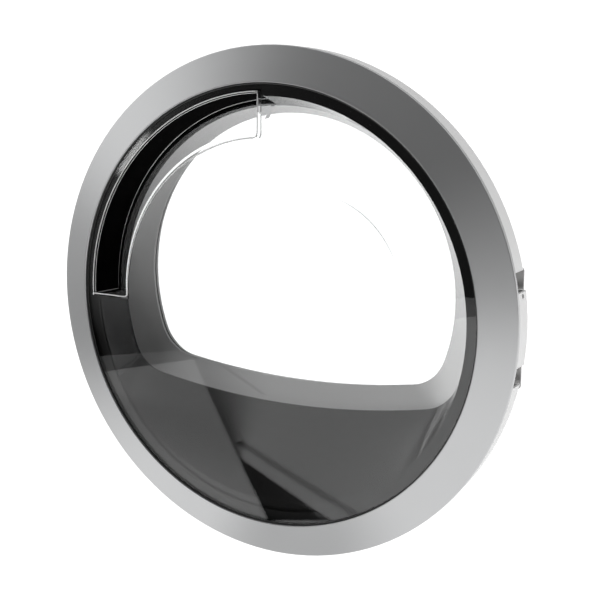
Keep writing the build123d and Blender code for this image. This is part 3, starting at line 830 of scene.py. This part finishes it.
def join_rings(bm, first, second):
    count = len(first)
    for i in range(count):
        bm.faces.new((first[i], first[(i + 1) % count], second[(i + 1) % count], second[i]))


def cross(bm, radius, shares, height):
    """The points of a cross, from its reach and half its arms' width as shares of the head's radius."""
    reach, half = radius * shares[0], radius * shares[1]
    corners = []
    for quarter in range(4):
        turn = Matrix.Rotation(quarter * math.pi / 2, 2)
        corners += [turn @ Vector(p) for p in ((reach, -half), (reach, half), (half, half))]
    return [bm.verts.new((p.x, height, p.y)) for p in corners]


def add_screw(bm, radius, head, shank, tip, top):
    """One screw along the depth axis, from tip to top, with a crowned head and a cross recess."""
    seat = top - head
    rings = [ring_of(bm, shank * SHANK_TIP, tip)]
    steps = max(2, int((seat - tip) / RIDGE_PITCH))
    for i in range(steps):
        start = tip + (seat - tip) * (i + RIDGE_START) / steps
        rings.append(ring_of(bm, shank * SHANK_ROOT, start))
        rings.append(ring_of(bm, shank, start + (seat - tip) * RIDGE_RISE / steps))
    rings.append(ring_of(bm, shank * SHANK_ROOT, seat))
    rings.append(ring_of(bm, radius * HEAD_SEAT, seat))
    for share, height in HEAD_CROWN:
        rings.append(ring_of(bm, radius * share, seat + head * height))
    for first, second in zip(rings, rings[1:]):
        join_rings(bm, first, second)
    bm.faces.new(rings[0])
    recess = cross(bm, radius, RECESS_TOP, top)
    floor = cross(bm, radius, RECESS_FLOOR, top - head * RECESS_DEPTH)
    edges = [bm.edges.get((rings[-1][i - 1], rings[-1][i])) for i in range(HEAD_TURNS)]
    edges += [bm.edges.new((recess[i - 1], recess[i])) for i in range(len(recess))]
    bmesh.ops.triangle_fill(bm, edges=edges, use_beauty=True)
    join_rings(bm, recess, floor)
    bm.faces.new(floor)


print("heads of", HEAD_TURNS, "sides")

# %% [markdown]
# Each group of screws becomes one piece that stands for its plain node. Screws that were driven home stop
# at any angle, so each is turned further than the one before. The heads could be shaded flat, but smooth
# shading that breaks at sharp edges shows their crown.

# %% All screws
SCREW_TURN = 2.4
HEAD_SHARP = math.radians(35)


def new_piece(name, bm, smooth=True):
    """Turns a finished bmesh into an object of the scene."""
    bmesh.ops.recalc_face_normals(bm, faces=bm.faces)
    for face in bm.faces:
        face.smooth = smooth
    mesh = bpy.data.meshes.new(name)
    bm.to_mesh(mesh)
    bm.free()
    piece = bpy.data.objects.new(name, mesh)
    scene.collection.objects.link(piece)
    return piece


def make_screws(node):
    head, shank = SCREW_KINDS[node]
    low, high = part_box(node)
    bm = bmesh.new()
    for number, (axis, radius) in enumerate(screws_at[node]):
        start = len(bm.verts)
        add_screw(bm, radius, head, shank, low.y, high.y)
        bm.verts.ensure_lookup_table()
        turn = Matrix.Rotation(SCREW_TURN * number, 4, "Y")
        place = Matrix.Translation((axis.x, 0, axis.y)) @ turn
        bmesh.ops.transform(bm, matrix=place, verts=bm.verts[start:])
    piece = new_piece(node + "_fine", bm)
    piece.data.set_sharp_from_angle(angle=HEAD_SHARP)
    piece.data.materials.append(steel)
    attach(piece, "door")
    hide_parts(node)
    return piece


for node in SCREW_KINDS:
    print(node, len(make_screws(node).data.polygons), "faces")

# %% [markdown]
# Thin trim shows as lines: bright beads on the pocket's rounded lip and on the bowl are painted highlights,
# where rounded edges catch the light, and a thin dark strip lies between ring and pane.
# A curve with a round bevel would do, but a small sweep of our own can also thin out towards its ends: a
# round section is carried along a path of points that lie on the domed pane or where two walls meet.

# %% Sweep
PANE_DOME = 0.004
PANE_REACH = 0.2062
SWEEP_SIDES = 10
TAPER_END = 0.15


def on_pane(x, z, sink=0.0):
    """A point on the pane's front or sunk below it, in the shared frame."""
    share = (x * x + z * z) / PANE_REACH ** 2
    return Vector((RING_CENTRE.x + x, RING_CENTRE.y + PANE_FRONT - PANE_DOME * (1 - share) + sink, z))


def at_depth(x, z, depth):
    """A point at a depth behind the ring's front, in the shared frame."""
    return Vector((RING_CENTRE.x + x, RING_CENTRE.y + depth, z))


def arc(centre, radius, start, end, count):
    steps = [start + (end - start) * i / count for i in range(count + 1)]
    return [(centre[0] + radius * math.cos(a), centre[1] + radius * math.sin(a)) for a in steps]


def sweep(name, path, radius, closed=True, taper=False):
    """A tube of round section along a path; a tapered one thins out towards both ends."""
    bm = bmesh.new()
    angles = [2 * math.pi * k / SWEEP_SIDES for k in range(SWEEP_SIDES)]
    rings = []
    for i, point in enumerate(path):
        before = path[i - 1] if closed or i else point
        after = path[(i + 1) % len(path)] if closed or i + 1 < len(path) else point
        along_path = (after - before).normalized()
        out = along_path.cross(Vector((0, 1, 0))).normalized()
        up = out.cross(along_path)
        swell = math.sin(math.pi * i / (len(path) - 1))
        thick = radius * (TAPER_END + (1 - TAPER_END) * swell) if taper else radius
        rings.append([bm.verts.new(point + (out * math.cos(a) + up * math.sin(a)) * thick) for a in angles])
    for i in range(0 if closed else 1, len(rings)):
        join_rings(bm, rings[i - 1], rings[i])
    if not closed:
        bm.faces.new(rings[0])
        bm.faces.new(rings[-1])
    return new_piece(name, bm)


print("sweep of", SWEEP_SIDES, "sides")

# %% [markdown]
# The lip runs round the pocket's mouth: two arcs, two straight ends and a rounded corner at each end of the
# inner arc. A finer line follows just inside its outer arc, and a crease runs along the pocket's deepest
# line. The paths could be read from the solid's edges, but a few radii say more plainly what they are.

# %% Pocket paths
MOUTH_OUTER = 0.1991
MOUTH_INNER = 0.1573
MOUTH_CORNER = 0.005
MOUTH_RIGHT = -0.011
MOUTH_LOW = -0.004
MOUTH_STEPS = 90
CORNER_STEPS = 8
END_STEP = 0.01
END_STEPS = 3
INNER_STEP = 0.0017
VALLEY_RADIUS = 0.1908
VALLEY_DEPTH = 0.0335
CREASE_SINK = 0.001


def pocket_arc(radius, ends_at):
    """An arc along the pocket; its ends are where a circle of radius ends_at meets the pocket's ends."""
    low_turn = math.pi - math.asin(MOUTH_LOW / ends_at)
    return arc((0, 0), radius, low_turn, math.acos(MOUTH_RIGHT / ends_at), MOUTH_STEPS)


bend = MOUTH_INNER + MOUTH_CORNER
top_x = MOUTH_RIGHT - MOUTH_CORNER
top_z = math.sqrt(bend ** 2 - top_x ** 2)
low_z = MOUTH_LOW + MOUTH_CORNER
low_x = -math.sqrt(bend ** 2 - low_z ** 2)
top_lean = math.atan2(top_z, top_x)
low_lean = math.atan2(low_z, low_x)
mouth = pocket_arc(MOUTH_OUTER, MOUTH_OUTER)
mouth += [(MOUTH_RIGHT, MOUTH_OUTER - END_STEP * i) for i in range(1, END_STEPS + 1)]
mouth += arc((top_x, top_z), MOUTH_CORNER, 0.0, top_lean - math.pi, CORNER_STEPS)
mouth += arc((0, 0), MOUTH_INNER, top_lean, low_lean, MOUTH_STEPS)
mouth += arc((low_x, low_z), MOUTH_CORNER, low_lean - math.pi, -math.pi / 2, CORNER_STEPS)
mouth += [(-MOUTH_OUTER + END_STEP * i, MOUTH_LOW) for i in range(END_STEPS, 0, -1)]
inner_arc = pocket_arc(MOUTH_OUTER - INNER_STEP, MOUTH_OUTER)
valley = [at_depth(x, z, VALLEY_DEPTH) for x, z in pocket_arc(VALLEY_RADIUS, VALLEY_RADIUS)]
low_corner = on_pane(-MOUTH_OUTER, MOUTH_LOW, CREASE_SINK)
print("pocket paths of", len(mouth), len(inner_arc), len(valley), "points")

# %% [markdown]
# All three lines are painted highlights: beads of half-clear plastic, frosted a little, with a light grey
# base, so that they show bright where the pocket's rounded edges catch the light. Bright lines could be
# painted on the pane, but a bead of its own catches the light from every side.

# %% Pocket lines
LIP_RADIUS = 0.0006
LIP_SINK = 0.0003
INNER_LIP_RADIUS = 0.0003
INNER_LIP_SINK = 0.0014
CREASE_RADIUS = 0.0004
LIP_HIGHLIGHT_GREY = 0.60
LIP_ROUGHNESS = 0.10
LIP_CLEAR = 0.55
POLISH_SPOTS = 300.0
POLISH_BLUR = 0.05

# Painted highlight: the light grey base keeps these beads bright, as rounded clear edges are where light
# catches.
highlight_bead_finish, finish = new_finish("lip_painted_highlight")
polish = finish.noise(POLISH_SPOTS, detail=2.0)
surface(finish, {
    "Base Color": grey(LIP_HIGHLIGHT_GREY),
    "Roughness": LIP_ROUGHNESS + POLISH_BLUR * polish,
    "IOR": CLEAR_BEND,
    "Transmission Weight": LIP_CLEAR,
})
lip = sweep("pocket_lip_highlight", [on_pane(x, z, LIP_SINK) for x, z in mouth], LIP_RADIUS)
lip.data.materials.append(highlight_bead_finish)
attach(lip, "door")
inner_path = [on_pane(x, z, INNER_LIP_SINK) for x, z in inner_arc]
inner_lip = sweep("pocket_inner_lip_highlight", inner_path, INNER_LIP_RADIUS, closed=False)
inner_lip.data.materials.append(highlight_bead_finish)
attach(inner_lip, "door")
crease_highlight = sweep("pocket_crease_highlight", [low_corner] + valley, CREASE_RADIUS, closed=False)
crease_highlight.data.materials.append(highlight_bead_finish)
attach(crease_highlight, "door")
print("pocket lines", len(lip.data.polygons), len(inner_lip.data.polygons), len(crease_highlight.data.polygons))

# %% [markdown]
# A thin black strip in the gaskets' rubber finish lies between ring and pane, along the dark line there. One
# faint line on the bowl, where its side turns into its flat end, is a painted highlight: a bright bead that
# fades at both ends, so it is swept with a taper.

# %% Strip and bowl line
STRIP_PLACE = 0.2059
STRIP_RADIUS = 0.0007
STRIP_STEPS = 240
BOWL_DEPTH = 0.0859
BOWL_RISE = 0.0018
BOWL_TURN = 0.096
BOWL_LINE_START = math.radians(24)
BOWL_LINE_END = math.radians(73)
BOWL_LINE_STEPS = 60

strip_ring = arc((0, 0), STRIP_PLACE, 0.0, 2 * math.pi, STRIP_STEPS)[:-1]
strip = sweep("pane_strip", [on_pane(x, z) for x, z in strip_ring], STRIP_RADIUS)
strip.data.materials.append(gasket)
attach(strip, "door")
# Painted highlight on the bowl's bend, only along the arc where the light catches it.
bowl_arc = arc((0, BOWL_RISE), BOWL_TURN, BOWL_LINE_START, BOWL_LINE_END, BOWL_LINE_STEPS)
bowl_path = [at_depth(x, z, BOWL_DEPTH) for x, z in bowl_arc]
bowl_highlight = sweep("bowl_painted_highlight", bowl_path, CREASE_RADIUS, closed=False, taper=True)
bowl_highlight.data.materials.append(highlight_bead_finish)
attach(bowl_highlight, "door")
print("strip", len(strip.data.polygons), "bowl line", len(bowl_highlight.data.polygons))

# %% [markdown]
# Through the two notches in the rim one looks at the hinge. Its plate has an ear behind each notch, a bare
# plate thinner than the rest, so that the rim can turn past it when the door opens. An outline with round
# outer corners is extruded; the inner end lies inside the plate.

# %% Hinge ears
EAR_INNER = 0.0055
EAR_OUTER = 0.0240
EAR_FRONT = -0.0017
EAR_BACK = -0.0001
EAR_CORNER = 0.004
EAR_SPANS = ((0.027, 0.052), (-0.058, -0.033))
EAR_EDGE = 0.0003
EAR_EDGE_STEPS = 2

bm = bmesh.new()
for low, high in EAR_SPANS:
    bend_x = EAR_OUTER - EAR_CORNER
    outline = [(EAR_INNER, high), (EAR_INNER, low)]
    outline += arc((bend_x, low + EAR_CORNER), EAR_CORNER, -math.pi / 2, 0.0, CORNER_STEPS)
    outline += arc((bend_x, high - EAR_CORNER), EAR_CORNER, 0.0, math.pi / 2, CORNER_STEPS)
    front = [bm.verts.new((x, EAR_FRONT, z)) for x, z in outline]
    back = [bm.verts.new((x, EAR_BACK, z)) for x, z in outline]
    join_rings(bm, front, back)
    bm.faces.new(front)
    bm.faces.new(back)
ears = new_piece("hinge_ears", bm, smooth=False)
ears.data.materials.append(zinc)
rounding = ears.modifiers.new("edges", "BEVEL")
rounding.width = EAR_EDGE
rounding.segments = EAR_EDGE_STEPS
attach(ears, "hinge")
print("ears", len(ears.data.polygons))
